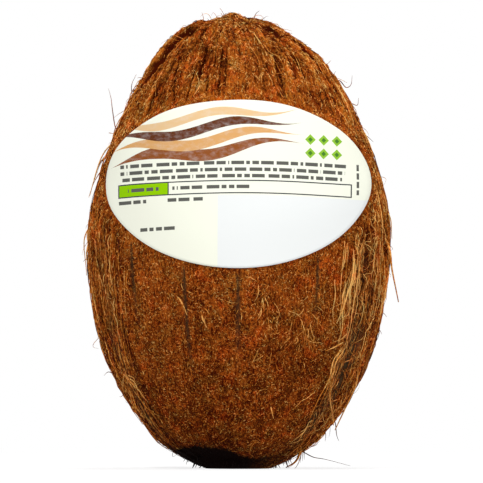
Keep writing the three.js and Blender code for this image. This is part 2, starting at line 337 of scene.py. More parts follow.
def beside_line(azimuth, height, foot, head, low, high):
    """Degrees from a line that goes from azimuth `foot` at height `low` to `head` at `high`."""
    middle = foot + (head - foot) * np.clip((height - low) / (high - low), 0, 1)
    return turn(np.degrees(azimuth), middle)


def cloud(points, scale, seed=0):
    """Smooth noise from -1 to 1 at points, with features about `scale` millimetres wide."""
    shift = Vector((17.3 * seed, 5.1 * seed, 31.7 * seed))
    scaled = np.asarray(points) / scale
    return np.array([noise.noise(Vector(p) + shift) for p in scaled])


def curve_through(points, steps):
    """A smooth curve through points. The first and the last only steer its ends."""
    u = np.linspace(0, len(points) - 3, steps)
    i = np.minimum(u.astype(int), len(points) - 4)
    t = (u - i)[:, None]
    a, b, c, d = (points[i + k] for k in range(4))
    return 0.5 * (
        2 * b + (c - a) * t + (2 * a - 5 * b + 4 * c - d) * t**2 + (3 * b - a - 3 * c + d) * t**3
    )


def smooth_route(stops, steps):
    """A smooth curve through stops, which are rows of numbers."""
    stops = np.asarray(stops, float)
    ends = 2 * stops[0] - stops[1], 2 * stops[-1] - stops[-2]
    return curve_through(np.vstack([ends[0], stops, ends[1]]), steps)


def outline_table():
    """Radius, height and unit tangent at even shares of the side outline's length."""
    knots = OUTLINE * (WIDTH / 2, HEIGHT)
    line = curve_through(np.vstack([knots[0], knots, knots[-1]]), OUTLINE_SAMPLES)
    length = np.concatenate([[0], np.cumsum(np.linalg.norm(np.diff(line, axis=0), axis=1))])
    share = np.linspace(0, 1, OUTLINE_SAMPLES)
    even = np.stack([np.interp(share, length / length[-1], line[:, k]) for k in (0, 1)], 1)
    along = np.gradient(even, axis=0)
    along /= np.linalg.norm(along, axis=1)[:, None]
    return share, even, along, length[-1]


SHARE, SIDE, ALONG, SIDE_LENGTH = outline_table()


def radius_at(share):
    return np.interp(share, SHARE, SIDE[:, 0])


def height_at(share):
    return np.interp(share, SHARE, SIDE[:, 1])


def share_at(height):
    return np.interp(height, SIDE[:, 1], SHARE)


def off_nut(azimuth, share, out):
    """Points `out` off the smooth nut. The azimuth is in radians."""
    along_r, along_z = (np.interp(share, SHARE, ALONG[:, k]) for k in (0, 1))
    radius = radius_at(share) + along_z * out
    height = height_at(share) - along_r * out
    x = radius * np.sin(azimuth) + TIP_SHIFT * smoothstep(height, *TIP_SHIFT_HEIGHTS)
    y = -radius * np.cos(azimuth) * DEPTH / WIDTH
    return np.stack(np.broadcast_arrays(x, y, height), -1)


def wander(line, height):
    """Azimuth at a height of the bundle line that leaves the base at `line`, in radians."""
    return (
        line
        + 0.045 * np.sin(5 * line + 1.1)
        + 0.026 * np.sin(9 * line + 0.4)
        + 0.05 * np.sin(height / 26 + 2 * line)
    )


def line_at(azimuth, height):
    """The bundle line through an azimuth, in radians."""
    line = np.array(azimuth, float)
    for _ in range(12):
        line = line - 0.7 * (wander(line, height) - azimuth)
    return line


def under_label(azimuth, height):
    """How far from the oval's middle a place is: 1 at its rim, and far over 1 at the back."""
    size = bpy.context.scene.label_settings
    across = radius_at(share_at(height)) * np.sin(azimuth) / (size.across / MM / 2)
    up = (height - size.height / MM) / (size.tall / MM / 2)
    return np.hypot(across, up) + np.where(np.cos(azimuth) > 0, 0, 9)


def ridge_share(azimuth, height):
    """How much the bundles show: faint on the belly, clear on the flanks and the pointed end."""
    cone = smoothstep(height, CONE_START, CONE_FULL)
    folded = np.abs(turn(np.degrees(azimuth), 0))
    flank = 0.7 * smoothstep(folded, FLANK_START, FLANK_FULL)
    return np.maximum(np.maximum(BELLY_RIDGE_SHARE, cone), flank)


def lump(azimuth, height):
    """Broad unevenness of the whole nut."""
    return LUMP_RELIEF * (
        np.sin(3 * azimuth + 0.8 + height / 40) + 0.6 * np.sin(5 * azimuth - height / 17)
    )


def dish(azimuth, height):
    """How far a place is from the middle of the dish at the foot: 1 at its rim."""
    beside = turn(np.degrees(azimuth), DISH_AZIMUTH) / DISH_HALF_WIDTH
    above = (height - DISH_HEIGHT) / DISH_HALF_HEIGHT
    return np.hypot(beside, above)


def hollow(azimuth, height):
    """Depth of the dish and the long hollows."""
    depth = DISH_DEPTH * bump(dish(azimuth, height), 1)
    for foot, head, half_width, low, high, deep, _ in HOLLOWS:
        beside = beside_line(azimuth, height, foot, head, low, high)
        reach = (high - low) / 2
        along = 1 - smoothstep(np.abs(height - (low + high) / 2), reach / 2, reach)
        depth = depth + deep * along * bump(beside, 2 * half_width)
    return depth


def sunken(azimuth, height):
    """0 to 1 in the greyed middle of the long hollows, most near the foot."""
    grey = 0
    for foot, head, half_width, low, high, _, greyness in HOLLOWS:
        beside = beside_line(azimuth, height, foot, head, low, high)
        across = smoothstep(bump(beside, GREY_REACH * half_width), 0.2, 0.8)
        along = smoothstep(height, low - 8, low + 4) * (1 - smoothstep(height, high - 20, high))
        grey = np.maximum(grey, greyness * across * along)
    return grey * (1 - GREY_FADE * smoothstep(height, *GREY_FADE_HEIGHTS))


def all_splits():
    """The splits seen in front, and seeded ones over the rest of the pointed end."""
    draw = np.random.default_rng(11)
    made = list(SPLITS)
    for _ in range(BACK_SPLITS):
        low, azimuth = draw.uniform(60, 138), draw.uniform(75, 285)
        made.append((
            azimuth, azimuth + draw.uniform(-4, 4), low, low + draw.uniform(9, 26),
            draw.uniform(0.5, 1.0), draw.uniform(0.9, 1.8),
        ))
    return made


def splits_and_furrows(azimuth, height, radius, grain):
    """Depth of the narrow splits, and of the soft furrows."""
    sway = 0.8 * cloud(grain * (1, 1, 0.35), 9, seed=3) + 0.4 * cloud(grain, 2.6, seed=14)
    depth = np.zeros_like(height)
    for foot, head, low, high, half_width, deep in all_splits():
        beside = beside_line(azimuth, height, foot, head, low, high)
        beside = radius * np.radians(beside) + sway
        along = smoothstep(height, low - 2, low + 3)
        along = along * (1 - smoothstep(height, high - 3, high + 2))
        depth = np.maximum(depth, deep * along * bump(beside, 2 * half_width))
    furrow = np.zeros_like(height)
    for middle, low, high in FURROWS:
        beside = radius * np.radians(turn(np.degrees(azimuth), middle)) + 0.1 * sway
        along = smoothstep(height, low - 10, low + 14) * (1 - smoothstep(height, high - 6, high))
        furrow = np.maximum(furrow, FURROW_DEPTH * along * bump(beside, 2 * FURROW_HALF_WIDTH))
    return depth, furrow


def grain_at(line, share):
    """A place in the husk's own grain: round it, and along it in the third number."""
    around = WIDTH / 2
    return np.stack(np.broadcast_arrays(
        around * np.cos(line), around * np.sin(line), share * SIDE_LENGTH
    ), -1)


def slim_bundles(line, height, grain):
    """Relief of the slim bundles, and how far each has broken off, from 0 to 1."""
    warped = line + 0.035 * cloud(grain * (1, 1, 0.3), 14, seed=6)
    turns = (SLIM_RIDGES * warped / (2 * math.pi)) % SLIM_RIDGES
    crest = np.abs(np.sin(math.pi * turns)) ** 0.7
    ends = np.random.default_rng(3).uniform(*BUNDLE_ENDS, SLIM_RIDGES)
    ends = ends[np.minimum(turns.astype(int), SLIM_RIDGES - 1)]
    broken = smoothstep(height, ends, ends + 1.2)
    return SLIM_RELIEF * (crest - 0.6), broken, crest


def grain_marks(grain):
    """Strings, cracks, ragged areas, clumps, nubs, hatching and tufts along the husk's grain."""

    def drawn_out(stretch, scale, seed):
        return cloud(grain * (1, 1, stretch), scale, seed=seed)

    return (
        drawn_out(0.16, 2.2, 1),
        smoothstep(1 - np.abs(drawn_out(0.14, 6.5, 2)), 0.93, 1.0),
        smoothstep(drawn_out(0.5, 11, 22), -0.3, 0.25),
        drawn_out(0.7, 5, 4),
        drawn_out(0.8, 1.6, 9),
        smoothstep(1 - np.abs(drawn_out(0.28, 1.9, 12)), 0.86, 0.98),
        drawn_out(0.22, 3, 21),
    )


def relief(line, share):
    """How far the husk stands off the smooth nut; how much painted shade each place gets in its
    splits, cracks, grooves and shaded hollows; how much it is in a soft furrow; and its paler or
    darker streak along the grain, with painted highlight and shade across the bundle crests."""
    line, share = np.broadcast_arrays(np.asarray(line, float), np.asarray(share, float))
    shape = line.shape
    line, share = line.ravel(), share.ravel()
    height, radius = height_at(share), radius_at(share)
    azimuth = wander(line, height)
    grain = grain_at(line, share)
    strings, cracks, ragged, clumps, nubs, hatch, tufts = grain_marks(grain)
    bare = 1 - smoothstep(under_label(azimuth, height), *LABEL_MARGIN)
    cone = smoothstep(height, CONE_START, CONE_FULL) * (1 - bare)
    calm = CALM_SHARE * cone * bump(turn(np.degrees(azimuth), CALM_AZIMUTH), CALM_HALF_WIDTH)
    rough = ridge_share(azimuth, height) * (1 - bare) * (1 - calm)
    cone = cone * (1 - calm)
    strength = 0.78 + 0.22 * np.sin(7 * line + 0.5)
    crest = np.abs(np.sin(RIDGES * line / 2)) ** RIDGE_ROUNDNESS
    ridge = RIDGE_RELIEF * strength * (crest - 0.55)
    slim, broken, slim_crest = slim_bundles(line, height, grain)
    split, soft = splits_and_furrows(azimuth, height, radius, grain)
    split, soft = split * (1 - bare), soft * (1 - bare)
    fine = (STRING_RELIEF + STRING_ON_RIDGES * rough) * strings + CLUMP_RELIEF * clumps
    fine = fine + (NUB_RELIEF + NUB_ON_CONE * cone) * nubs
    fine = fine - rough * (CRACK_DEPTH * cracks + HATCH_DEPTH * hatch)
    fine = fine + slim * ragged * (0.2 * rough + 0.8 * cone) - BUNDLE_DROP * broken
    ends = smoothstep(height, 0, 9) * smoothstep(radius, 0, 12)
    small_ends = smoothstep(height, 0, 4) * smoothstep(radius, 0, 5)
    out = ends * (lump(azimuth, height) + ridge * rough)
    out = out + small_ends * ((1 - bare) * fine - split - soft)
    deep = hollow(azimuth, height)
    out = out - smoothstep(height, 0, 3) * deep
    out = out - TIP_DIP * bump(radius - 9, 8) * (height > HEIGHT / 2)
    # Painted shade: the grooves between ridges and slim bundles, the splits, cracks and upper
    # hollows darken the colour through this mask
    groove = np.clip(0.42 - crest, 0, 1) * 1.3 * rough
    groove = groove + np.clip(0.35 - slim_crest, 0, 1) * 1.3 * cone * ragged
    loose = np.maximum(rough * (0.4 + 0.6 * ragged), sunken(azimuth, height))
    shaded = HOLLOW_SHADE * smoothstep(deep, 0.3, 1.2) * smoothstep(height, 44, 58)
    crevice = split / 1.2 + loose * (0.7 * cracks + 0.6 * hatch) + groove + shaded
    crevice = np.clip(crevice - 0.25 * np.clip(nubs, 0, 1) * rough, 0, 1)
    # Paler or darker along strings and tufts as the husk's own tone; on the pointed end, painted
    # highlight on the bundle crests and painted shade between them
    streak = rough * (0.6 * strings + 0.7 * tufts) + 0.25 * cone * ragged * (slim_crest - 0.6)
    found = (out, crevice, soft / FURROW_DEPTH, streak)
    return tuple(values.reshape(shape) for values in found)


def along_husk(line, share, lift):
    """Points `lift` off the husk's relief, on bundle lines."""
    out = relief(line, share)[0]
    return off_nut(wander(line, height_at(share)), share, out + lift)


# Meshes and objects


def new_object(name, mesh, finish=None):
    obj = bpy.data.objects.new(name, mesh)
    bpy.context.scene.collection.objects.link(obj)
    if finish:
        mesh.materials.append(finish)
    return obj


def ring_grid(rings, first, last):
    """Points and faces of rings of points closed by one point at each end, facing out."""
    rows, count = rings.shape[:2]
    points = np.vstack([first, rings.reshape(-1, 3), last])
    at = 1 + np.arange(rows * count).reshape(rows, count)
    beside = np.roll(at, -1, axis=1)
    quads = np.stack([at[:-1], beside[:-1], beside[1:], at[1:]], -1).reshape(-1, 4)
    start = np.stack([np.zeros(count, int), beside[0], at[0]], -1)
    end = np.stack([np.full(count, len(points) - 1), at[-1], beside[-1]], -1)
    return points, [*start.tolist(), *quads.tolist(), *end.tolist()]


def mesh_from(name, points, faces=(), edges=()):
    mesh = bpy.data.meshes.new(name)
    mesh.from_pydata((np.asarray(points) * MM).tolist(), edges, faces)
    mesh.update()
    return mesh


def store(mesh, name, values, kind="FLOAT"):
    field = {"FLOAT": "value", "FLOAT_VECTOR": "vector"}[kind]
    layer = mesh.attributes.new(name, kind, "POINT")
    layer.data.foreach_set(field, np.asarray(values, np.float32).ravel())


def smooth_shade(mesh):
    mesh.polygons.foreach_set("use_smooth", [True] * len(mesh.polygons))


def keep_attributes(mesh, names):
    """Drops what the trees carried along, apart from the named values."""
    carried = [a.name for a in mesh.attributes if not (a.is_internal or a.is_required)]
    for name in carried:
        if name not in names:
            mesh.attributes.remove(mesh.attributes[name])


# Shader maths: a socket that can be added, multiplied and so on, in Python expressions


class Value:
    """A number or colour socket of a material's tree."""

    def __init__(self, tree, socket):
        self.tree = tree
        self.socket = socket

    def math(self, operation, *others):
        return self.tree.node("ShaderNodeMath", {"operation": operation}, self, *others)[0]

    def __add__(self, other):
        return self.math("ADD", other)

    __radd__ = __add__

    def __mul__(self, other):
        return self.math("MULTIPLY", other)

    __rmul__ = __mul__

    def __sub__(self, other):
        return self.math("SUBTRACT", other)

    def __rsub__(self, other):
        return self.tree.node("ShaderNodeMath", {"operation": "SUBTRACT"}, other, self)[0]

    def __truediv__(self, other):
        return self.math("DIVIDE", other)

    def __abs__(self):
        return self.math("ABSOLUTE")

    def __gt__(self, other):
        return self.math("GREATER_THAN", other)

    def __lt__(self, other):
        return self.math("LESS_THAN", other)

    def step(self, low, high):
        """0 below low and 1 above high, smooth between them."""
        return self.tree.node(
            "ShaderNodeMapRange", {"interpolation_type": "SMOOTHSTEP"}, self, low, high, 0.0, 1.0
        )[0]

    def ramp(self, *stops):
        """A colour for each value, from (position, colour) stops."""
        return self.tree.node("ShaderNodeValToRGB", {"ramp": stops}, self)[0]

    def most(self, other):
        return self.math("MAXIMUM", other)


class Tree:
    """A node tree of a material, a world or a geometry group."""

    def __init__(self, tree):
        self.tree = tree
        self.tree.nodes.clear()

    def node(self, kind, settings=None, *inputs, **named):
        """Adds a node, sets its settings first and then its inputs, and returns its outputs."""
        made = self.tree.nodes.new(kind)
        for key, value in (settings or {}).items():
            if key == "ramp":
                self.set_ramp(made.color_ramp, value)
            else:
                setattr(made, key, value)
        for socket, value in zip([s for s in made.inputs if s.enabled], inputs):
            self.put(socket, value)
        for key, value in named.items():
            self.put(made.inputs[key.replace("_", " ")], value)
        return [Value(self, s) for s in made.outputs if s.enabled]

    def put(self, socket, value):
        if isinstance(value, Value):
            self.tree.links.new(value.socket, socket)
        elif value is not None:
            if hasattr(socket.default_value, "__len__") and len(socket.default_value) == 4:
                value = (*value[:3], 1.0)
            socket.default_value = value

    def set_ramp(self, ramp, stops):
        while len(ramp.elements) < len(stops):
            ramp.elements.new(1.0)
        for element, (position, colour) in zip(ramp.elements, stops):
            element.position = position
            element.color = (*colour[:3], 1.0)

    def attribute(self, name, output="Fac"):
        settings = {"attribute_type": "GEOMETRY", "attribute_name": name}
        found = self.node("ShaderNodeAttribute", settings)
        return next(v for v in found if v.socket.name == output)

    def stretch(self, vector, scale):
        return self.node("ShaderNodeVectorMath", {"operation": "MULTIPLY"}, vector, scale)[0]

    def place(self):
        """The object's own coordinates, in metres."""
        return self.node("ShaderNodeTexCoord")[3]

    def noise(self, vector, scale, detail=2.0, roughness=0.5):
        """Noise round 0.5, with features about 1 / scale units wide."""
        return self.node(
            "ShaderNodeTexNoise", {}, Vector=vector, Scale=scale, Detail=detail,
            Roughness=roughness,
        )[0]

    def mix(self, factor, first, second):
        """Mixes two colours."""
        settings = {"data_type": "RGBA", "clamp_factor": True}
        return self.node("ShaderNodeMix", settings, factor, first, second)[0]

    def raised(self, height, distance, strength=1.0):
        """The normal of a surface with a relief as high as `distance`."""
        return self.node(
            "ShaderNodeBump", {}, Strength=strength, Distance=distance, Height=height
        )[0]


def material(name, build):
    """A new material whose Principled shader takes what `build` returns for its sockets."""
    made = bpy.data.materials.new(name)
    made.use_nodes = True
    tree = Tree(made.node_tree)
    shader = tree.node("ShaderNodeBsdfPrincipled")[0]
    for socket, value in build(tree).items():
        tree.put(shader.socket.node.inputs[socket], value)
    tree.node("ShaderNodeOutputMaterial", {}, shader)
    return made


def husk_tones(tree, tone):
    """The husk's colours, from deep brown to pale tan, for a value from 0 to 1."""
    c = bpy.context.scene.nut_settings
    return tone.ramp((0.0, c.dark), (0.34, c.rust), (0.68, c.orange), (1.0, c.tan))


def broad_tone_and_painted_light(tree):
    """How much lighter or darker an area is: faint clouds of the husk's own tone, and painted
    light: rims and tip paler as if lit, the lower part darker as painted shade.
    """
    place = tree.place()
    clouds = tree.noise(place, 45.0, detail=2) * 0.22 + tree.noise(place, 230.0, detail=2) * 0.5
    across, _, height = tree.node("ShaderNodeSeparateXYZ", {}, place)
    # Painted light on both rims and the tip, and painted shade over the lower part, as if lit from
    # above and the sides
    rim = across.step(*RIGHT_RIM_LIGHT) * 0.16 + across.step(*LEFT_RIM_LIGHT) * 0.1
    ends = height.step(*TIP_TOP_LIGHT) * 0.1 + height.step(*LOWER_SHADE_FADE) * 0.16
    return clouds - 0.45 + rim + ends


def stains_and_foot_shade(tree, colour):
    """Reddens some clusters, dulls others, greys the hollows and blackens the patch, with painted
    shade in a band above it where the husk turns under.
    """
    place = tree.place()
    clusters = tree.noise(place, 190.0, detail=3, roughness=0.65)
    red = tree.stretch(colour, (1.35, 0.85, 0.8))
    dull = tree.stretch(colour, (0.76, 1.0, 1.2))
    colour = tree.mix(clusters.step(0.54, 0.66) * 0.6, colour, red)
    colour = tree.mix(clusters.step(0.5, 0.36) * 0.75, colour, dull)
    colour = tree.mix(tree.attribute("sunk") * 0.7, colour, SUNKEN_GREY)
    return tree.mix(tree.attribute("patch"), colour, PATCH_BLACK)


def skin_material():
    """Felted pith: stringy grain, rust patches, painted shade in the splits and crevices and round
    the foot, painted light on the rims and tip, and the black patch at the foot.
    """
    dark = tuple(bpy.context.scene.nut_settings.dark)

    def build(tree):
        grain = tree.attribute("grain", "Vector")
        fine = tree.noise(tree.stretch(grain, (1, 1, 0.4)), 1.9, detail=4, roughness=0.7)
        strings = tree.noise(tree.stretch(grain, (1, 1, 0.1)), 1.1, detail=3, roughness=0.6)
        crevice = tree.attribute("crevice")
        # The skin's tone sits low where it shows between fibres: partly the pith's own brown,
        # partly painted shade under the felt
        tone = fine * 1.9 + strings * 0.5 - 1.05 + broad_tone_and_painted_light(tree)
        tone = tone + tree.attribute("streak") * 0.5
        colour = husk_tones(tree, tone)
        # Painted shade: the crevices are darkened towards deep brown
        colour = tree.mix(crevice.step(0.05, 0.9), colour, dark)
        colour = stains_and_foot_shade(tree, colour)
        return {
            "Base Color": colour, "Roughness": 0.95, "Specular IOR Level": 0.01,
            "Normal": tree.raised(fine * 0.6 + strings * 0.4, 0.6 * MM),
        }

    return material("husk_pith", build)


def fibre_material(name, low, high, rough=0.7):
    """Fibre, each with its own tone between low and high, on top of the husk's own shading."""

    def build(tree):
        place = tree.place()
        tufts = (tree.noise(place, 950.0, detail=3, roughness=0.75) - 0.5) * 2.2
        tone = tree.attribute("tone") * (high - low) + broad_tone_and_painted_light(tree) + low + tufts
        # Painted shade darkens the fibres in the crevices, and the streak paints highlight on the
        # bundle crests
        tone = tone - tree.attribute("crevice") * 0.6 + tree.attribute("streak") * 0.5
        colour = stains_and_foot_shade(tree, husk_tones(tree, tone))
        return {"Base Color": colour, "Roughness": rough, "Specular IOR Level": 0.03}

    return material(name, build)


# Geometry node trees


class Group(Tree):
    """A geometry node group with named inputs and one geometry output."""

    def __init__(self, name, **inputs):
        group = bpy.data.node_groups.new(name, "GeometryNodeTree")
        super().__init__(group)
        interface = group.interface
        interface.new_socket("Geometry", in_out="INPUT", socket_type="NodeSocketGeometry")
        interface.new_socket("Geometry", in_out="OUTPUT", socket_type="NodeSocketGeometry")
        for key, kind in inputs.items():
            interface.new_socket(
                key.replace("_", " "), in_out="INPUT", socket_type="NodeSocket" + kind
            )
        found = self.node("NodeGroupInput")
        self.given = {v.socket.name: v for v in found if v.socket.name}

    def named(self, name, kind="FLOAT"):
        """A value that the surface or path carries."""
        return self.node("GeometryNodeInputNamedAttribute", {"data_type": kind}, name)[0]

    def random(self, low, high, seed, kind="FLOAT"):
        """A random value for each point."""
        return self.node(
            "FunctionNodeRandomValue", {"data_type": kind}, Min=low, Max=high, Seed=seed
        )[0]

    def finish(self, geometry):
        """Ends the tree in Realize Instances and Set Material."""
        real = self.node("GeometryNodeRealizeInstances", {}, geometry)[0]
        painted = self.node("GeometryNodeSetMaterial", {}, Geometry=real)[0]
        self.put(painted.socket.node.inputs["Material"], self.given["Material"])
        self.node("NodeGroupOutput", {}, painted)
        return self.tree


def felt_group():
    """Short fibres strewn over a surface, lying along its `grow` direction with a random spin."""
    g = Group(
        "Felt", Fibres="Collection", Cover="String", Density="Float", Spin="Float",
        Smallest="Float", Largest="Float", Seed="Int", Material="Material",
    )
    seed = g.given["Seed"]
    cover = g.named(g.given["Cover"])
    strewn = g.node(
        "GeometryNodeDistributePointsOnFaces", {"distribute_method": "RANDOM"},
        Mesh=g.given["Geometry"], Density=cover * g.given["Density"], Seed=seed,
    )
    points, normal = strewn[0], strewn[1]
    grow = g.named("grow", "FLOAT_VECTOR")
    up = g.node("FunctionNodeAlignRotationToVector", {"axis": "Z"}, Vector=normal)[0]
    lie = g.node(
        "FunctionNodeAlignRotationToVector", {"axis": "X", "pivot_axis": "Z"},
        Rotation=up, Vector=grow,
    )[0]
    spin = g.random(-1.0, 1.0, seed + 1) * g.named("wild") * g.given["Spin"]
    pitch = g.random(-0.16, 0.07, seed + 5)
    about = g.node("ShaderNodeCombineXYZ", {}, 0.0, pitch, spin)[0]
    turned = g.node("FunctionNodeRotateRotation", {"rotation_space": "LOCAL"}, lie, about)[0]
    size = g.random(g.given["Smallest"], g.given["Largest"], seed + 2)
    info = g.node(
        "GeometryNodeCollectionInfo", {"transform_space": "ORIGINAL"},
        Collection=g.given["Fibres"], Separate_Children=True, Reset_Children=True,
    )[0]
    placed = g.node(
        "GeometryNodeInstanceOnPoints", {}, Points=points, Instance=info, Pick_Instance=True,
        Instance_Index=g.random(0, 99, seed + 3, "INT"), Rotation=turned, Scale=size,
    )[0]
    toned = g.node(
        "GeometryNodeStoreNamedAttribute", {"data_type": "FLOAT", "domain": "INSTANCE"},
        Geometry=placed, Name="tone", Value=g.random(0.0, 1.0, seed + 4),
    )[0]
    return g.finish(toned)


def strand_group():
    """A closed tube along each path, as thick as the path's `width` times Thickness."""
    g = Group("Strands", Thickness="Float", Sides="Int", Material="Material")
    curves = g.node("GeometryNodeMeshToCurve", {}, Mesh=g.given["Geometry"])[0]
    width = g.named("width")
    thick = g.node("GeometryNodeSetCurveRadius", {}, Curve=curves, Radius=width)[0]
    profile = g.node(
        "GeometryNodeCurvePrimitiveCircle", {},
        Resolution=g.given["Sides"], Radius=g.given["Thickness"] * 0.5,
    )[0]
    tubes = g.node(
        "GeometryNodeCurveToMesh", {}, Curve=thick, Profile_Curve=profile, Fill_Caps=True,
        Scale=width,
    )[0]
    return g.finish(tubes)


def grown(name, source, group, **values):
    """Runs a node group on a mesh and returns the result as a plain object."""
    source.materials.clear()
    helper = bpy.data.objects.new(name + "_source", source)
    bpy.context.scene.collection.objects.link(helper)
    modifier = helper.modifiers.new("Grow", "NODES")
    modifier.node_group = group
    for item in group.interface.items_tree:
        key = item.name.replace(" ", "_")
        if item.item_type == "SOCKET" and item.in_out == "INPUT" and key in values:
            modifier[item.identifier] = values[key]
    graph = bpy.context.evaluated_depsgraph_get()
    mesh = bpy.data.meshes.new_from_object(
        helper.evaluated_get(graph), preserve_all_data_layers=True, depsgraph=graph
    )
    bpy.data.objects.remove(helper)
    place = np.zeros(3 * len(mesh.vertices))
    mesh.vertices.foreach_get("co", place)
    place[2::3] = np.maximum(place[2::3], LOWEST * MM)
    mesh.vertices.foreach_set("co", place)
    keep_attributes(mesh, ("tone", "patch", "sunk", "crevice", "streak", "material_index"))
    mesh.name = name
    return new_object(name, mesh)


def settle(obj, slot, *nodes):
    """Puts a finished piece on the nut's body."""
    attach(obj, BODY)
    if nodes:
        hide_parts(*nodes)


# Paths for strands and hairs, all as (points, widths, tone)


def path_mesh(name, paths):
    points, edges, widths, tones = [], [], [], []
    for route, width, tone in paths:
        first = len(points)
        points.extend(route)
        edges.extend((first + i, first + i + 1) for i in range(len(route) - 1))
        widths.extend(width)
        tones.extend([tone] * len(route))
    points = np.array(points)
    azimuth = np.arctan2(points[:, 0], -points[:, 1])
    mesh = mesh_from(name, points, edges=edges)
    store(mesh, "width", widths)
    store(mesh, "tone", tones)
    store(mesh, "patch", black_patch(points))
    store(mesh, "sunk", 0.35 * sunken(azimuth, points[:, 2]))
    return mesh


def black_patch(points):
    """1 on the dark patch at the foot, fading to 0 past its edge through a band of painted shade
    where the husk turns under, at points in millimetres.
    """
    azimuth = np.degrees(np.arctan2(points[:, 0], -points[:, 1]))
    edge = np.interp(azimuth, *np.array(PATCH_EDGE, float).T)
    ragged = 0.7 * cloud(points, 3, seed=8) + 0.5 * cloud(points, 1, seed=18)
    height = points[:, 2] + ragged
    # Painted shade: a dark band above the patch's edge, where the husk turns under towards the
    # floor
    turn_under_shade = 0.4 * (1 - smoothstep(height, edge, edge + 7))
    black = np.maximum(1 - smoothstep(height, edge - 0.6, edge + 0.3), turn_under_shade)
    front = smoothstep(azimuth, -120, -90) * (1 - smoothstep(azimuth, 10, 70))
    return black * (0.6 + 0.4 * front)


def taper(steps, root=0.75, tip=0.25):
    """Widths along a strand: fullest a third of the way along, and slim at both ends."""
    t = np.linspace(0, 1, steps)
    return np.interp(t, (0, 0.35, 1), (root, 1, tip))


def strand_out(steps, lift):
    """How far a loose strand stands off the nut at each stop: rooted in the husk, then free."""
    t = np.linspace(0, 1, steps)
    free = ROOT_LIFT + (lift - ROOT_LIFT) * t + LUMP_RELIEF
    return np.where(t == 0, -ROOT_DEPTH, free)


def strand_routes():
    """The loose strands of the frame's husk: front ones by their routes, others by the rule."""
    made = []
    for route, lift in FRONT_STRANDS:
        across, height = np.array(route, float).T
        reach = radius_at(share_at(height)) + strand_out(len(height), lift)
        azimuth = np.arcsin(np.clip(across / reach, -0.995, 0.995))
        made.append((azimuth, height, lift))
    state = BACK_SEED

    def between(low, high):
        nonlocal state
        state = state * 16807 % 2147483647
        return low + (high - low) * state / 2147483647

    for _ in range(BACK_STRANDS):
        azimuth = math.radians(between(*BACK_AZIMUTHS))
        top = between(*BACK_TOPS)
        bottom = max(8, top - between(*BACK_LENGTHS))
        lean = math.radians(between(-9, 9))
        lift = between(*BACK_LIFTS)
        t = np.array((0, 0.4, 1))
        made.append((azimuth + lean * t * t, top + (bottom - top) * t, lift))
    return made


def loose_strands():
    """Each loose strand, with a few thinner fibres that part from it towards the end."""
    draw = np.random.default_rng(21)
    made = []
    for azimuth, height, lift in strand_routes():
        stops = off_nut(azimuth, share_at(height), strand_out(len(height), lift))
        steps = 12 + 4 * len(height)
        waves = 0.15 * np.sin(np.linspace(0, draw.uniform(4, 9), steps) + draw.uniform(0, 6))
        middle = smooth_route(stops, steps) + waves[:, None] * draw.normal(0, 1, 3)
        broad = BOLD_WIDTH if lift > BOLD_LIFT else PLAIN_WIDTH
        pale = FAR_TONE if lift > FAR_LIFT else 1
        made.append((middle, broad * taper(steps, 0.9, 0.4), pale * draw.uniform(0.3, 0.9)))
        for _ in range(draw.integers(1, 4)):
            part = np.linspace(0.25, draw.uniform(0.6, 2.2), steps)[:, None]
            length = int(steps * draw.uniform(0.5, 0.95))
            route = middle + draw.normal(0, 0.6, 3) * part
            made.append((route[:length], taper(length, 0.5, 0.2) * 0.55, draw.uniform(0.3, 0.9)))
    return made


def bundle_fibres():
    """Long fibres that follow the bundle lines down the pointed end, the flanks and the back."""
    draw = np.random.default_rng(33)
    count = bpy.context.scene.nut_settings.bundle_count
    made = []
    while len(made) < count:
        line = draw.uniform(0, 2 * math.pi)
        top = draw.uniform(0.06, 0.985)
        height = height_at(top)
        azimuth = wander(line, height)
        chance = ridge_share(azimuth, height) - BELLY_RIDGE_SHARE
        if draw.uniform() > chance * (0.04 + 0.96 * (radius_at(top) / (WIDTH / 2)) ** 4):
            continue
        length = draw.uniform(6, 30)
        bottom = max(0.015, top - length / SIDE_LENGTH)
        steps = 5 + int(length / 4.5)
        t = np.linspace(0, 1, steps)
        share = top + (bottom - top) * t
        drift = draw.normal(0, 1.4) * t
        drift = drift + 0.6 * np.sin(t * draw.uniform(2, 9) + draw.uniform(0, 6))
        around = line + drift / np.maximum(radius_at(share), 8)
        lift = draw.uniform(0.05, 0.3) + draw.uniform(0, 0.5) * np.sin(math.pi * t)
        lift = np.where((t == 0) | (t == 1), -0.25, lift)
        if under_label(wander(around, height_at(share)), height_at(share)).min() < PAPER_EDGE:
            continue
        route = along_husk(around, share, lift)
        made.append((route, taper(steps) * draw.uniform(0.6, 1.3), draw.uniform(0, 1)))
    return made


